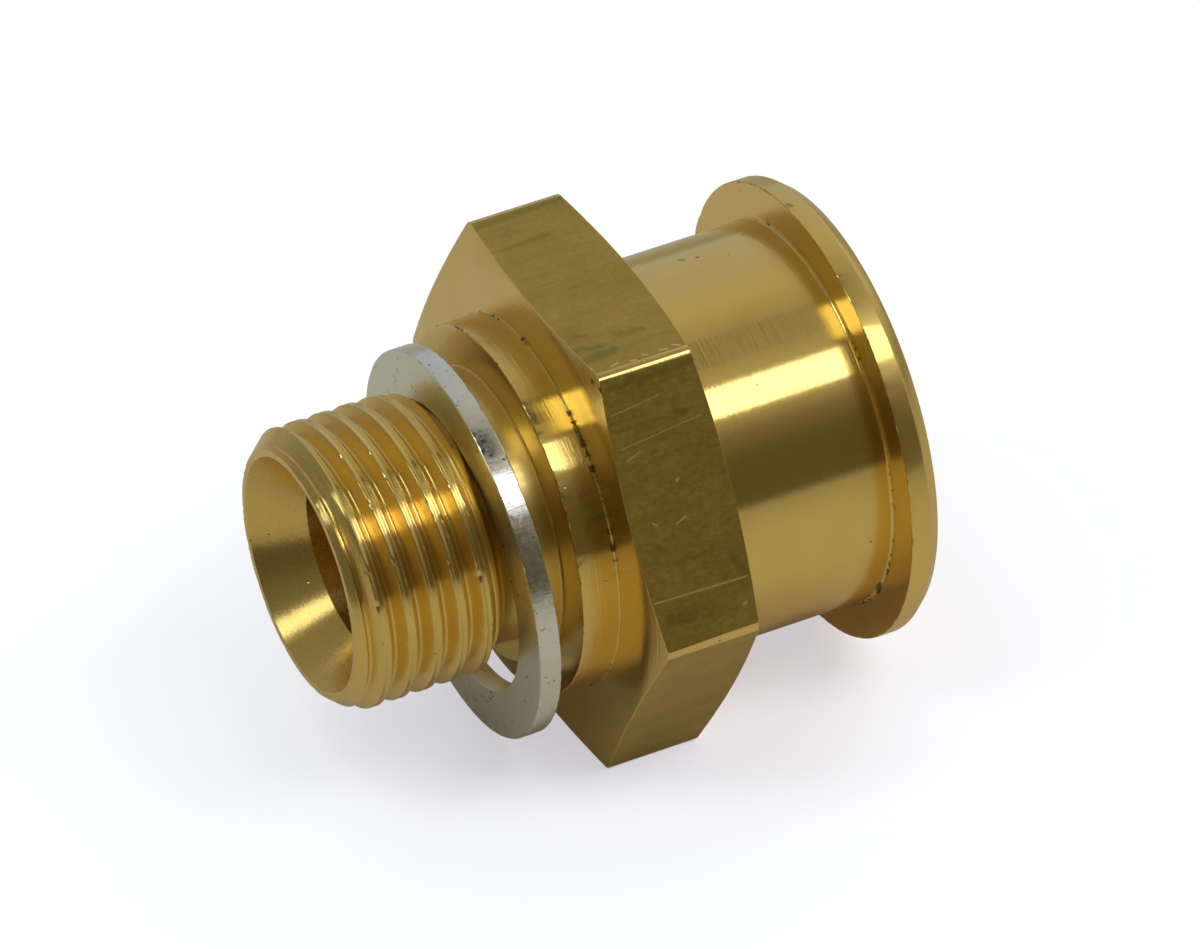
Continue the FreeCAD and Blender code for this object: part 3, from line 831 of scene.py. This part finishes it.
bpy.ops.object.select_all(action="DESELECT")
bpy.ops.mesh.primitive_grid_add(x_subdivisions=4, y_subdivisions=4, size=6)
floor = bpy.context.object
floor.name = "floor"
paper, tree = new_tree("matt_white_paper")
white_ray = shown(tree, GLOSSY_SHARE_OF_PAPER)
place = node(tree, "TexCoord")
far = node(tree, "VectorMath", {0: place.outputs["Object"]}, operation="LENGTH")
# Painted light and shade in the paper's colour: a pool of light round the object, shade towards
# the threaded end, and light behind it.
painted_pool_of_light = times(tree, ramp(tree, far.outputs["Value"], 0.03, 0.1, 1.05, 0.86),
                   ramp(tree, far.outputs["Value"], 0.1, 0.5, 1.0, 0.27))
sides = node(tree, "SeparateXYZ", {0: place.outputs["Object"]})
painted_shade_by_thread = ramp(tree, sides.outputs[0], -0.25, 0.0, 0.55, 1.0)
behind = ramp(tree, sides.outputs[1], 0.03, 0.3, 0.0, 0.9)
paper_with_painted_light = node(tree, "VectorMath", {0: linear("#EFE9D9")[:3],
                                "Scale": highest(tree, [times(tree, painted_pool_of_light, painted_shade_by_thread),
                                                        behind])}, operation="SCALE")
matt = node(tree, "BsdfDiffuse", {"Color": paper_with_painted_light.outputs[0]})
paper_white = node(tree, "BsdfDiffuse", {"Color": (1.2, 1.2, 1.2, 1)})
glow = node(tree, "Emission", {"Color": (0.94, 0.97, 1.1, 1), "Strength": 0.5})
shown_white = node(tree, "AddShader", {0: paper_white.outputs[0], 1: glow.outputs[0]})
both = node(tree, "MixShader", {0: white_ray, 1: matt.outputs[0], 2: shown_white.outputs[0]})
node(tree, "OutputMaterial", {0: both.outputs[0]})
floor.data.materials.append(paper)

# Studio: two long soft boxes in the ceiling, and a room that is pale behind the object, duller on
# the side of its threaded end and dark and brown on the camera's side. The camera sees the room
# white, and the metal sees its own colours.
GLOSSY_SHARE_OF_ROOM = 0.01
CEILING = 1.0
world = bpy.context.scene.world or bpy.data.worlds.new("room")
bpy.context.scene.world = world
world.use_nodes = True
tree = world.node_tree
tree.nodes.clear()
view = node(tree, "TexCoord")
toward = node(tree, "SeparateXYZ", {0: view.outputs["Generated"]})
walls = node(tree, "ValToRGB", {0: ramp(tree, toward.outputs[1], -1.0, 1.0)})
stops = walls.color_ramp.elements
stops[0].position = 0.0
stops[1].position = 1.0
while len(stops) < 8:
    stops.new(0.5)
for stop, (position, level, tint) in zip(stops, [
        (0.0, 0.09, (1, 0.82, 0.45)),
        (0.08, 0.09, (1, 0.82, 0.45)),
        (0.155, 0.17, (1, 0.92, 0.7)),
        (0.2, 0.3, (1, 0.97, 0.81)),
        (0.42, 0.34, (1, 0.97, 0.81)),
        (0.565, 0.34, (1, 0.97, 0.81)),
        (0.72, 0.46, (1, 0.98, 0.88)),
        (0.95, 0.44, (1, 1.04, 1.2))]):
    stop.position = position
    stop.color = [level * part for part in tint] + [1]
sideways = node(tree, "Math", {0: toward.outputs[0], 1: 0.58, 2: 0.8}, operation="MULTIPLY_ADD")
strength = node(tree, "Clamp", {"Value": sideways.outputs[0], "Min": 0.4, "Max": 1.25})
room = node(tree, "Background", {"Color": walls.outputs[0], "Strength": strength.outputs[0]})
pale = node(tree, "Background", {"Color": (1, 1, 1, 1), "Strength": 1.0})
all_round = node(tree, "MixShader", {0: shown(tree, GLOSSY_SHARE_OF_ROOM), 1: room.outputs[0],
                                     2: pale.outputs[0]})
node(tree, "OutputWorld", {0: all_round.outputs[0]})


def ceiling_box(name, middle, length, width, turn, radiance, tint):
    """A rectangular lamp that looks straight down, its length turned from the X line."""
    lamp = bpy.data.lights.new(name, "AREA")
    lamp.shape = "RECTANGLE"
    lamp.size = length
    lamp.size_y = width
    lamp.energy = radiance * math.pi * length * width
    lamp.color = tint
    holder = bpy.data.objects.new(name, lamp)
    bpy.context.scene.collection.objects.link(holder)
    holder.location = (middle[0], middle[1], CEILING + AXIS_HEIGHT)
    holder.rotation_euler = (0, 0, math.radians(turn))


ceiling_box("key_box", (0.42, -0.59), 0.85, 0.41, 0, 2.3, (0.98, 1, 1.12))
ceiling_box("end_box", (-0.85, 0.03), 1.25, 0.38, -15.6, 1.75, (0.92, 1.04, 1.1))

# A dark card hangs between the soft boxes, so that the metal shows a dark band between their
# two reflections.
bpy.ops.object.select_all(action="DESELECT")
bpy.ops.mesh.primitive_plane_add(size=1, location=(0.05, -0.02, CEILING))
card = bpy.context.object
card.name = "dark_card"
card.scale = (0.5, 0.32, 1)
bpy.ops.object.transform_apply(location=True, rotation=True, scale=True)
felt, tree = new_tree("dark_felt")
cloth = node(tree, "BsdfDiffuse", {"Color": linear("#3A342A")})
node(tree, "OutputMaterial", {0: cloth.outputs[0]})
card.data.materials.append(felt)

# Camera: a long lens, a little above the object and to the side of its threaded end.
camera_data = bpy.data.cameras.new("camera")
camera_data.sensor_width = 36
camera_data.lens = 325.88
camera_data.clip_end = 20
camera = bpy.data.objects.new("camera", camera_data)
bpy.context.scene.collection.objects.link(camera)
camera.matrix_world = Matrix((
    (0.892523, 0.293052, -0.342816, -0.19967),
    (-0.450615, 0.548014, -0.704718, -0.41457),
    (-0.018651, 0.783455, 0.621169, 0.37904),
    (0, 0, 0, 1)))
bpy.context.scene.camera = camera
bpy.context.scene.view_settings.view_transform = "Standard"
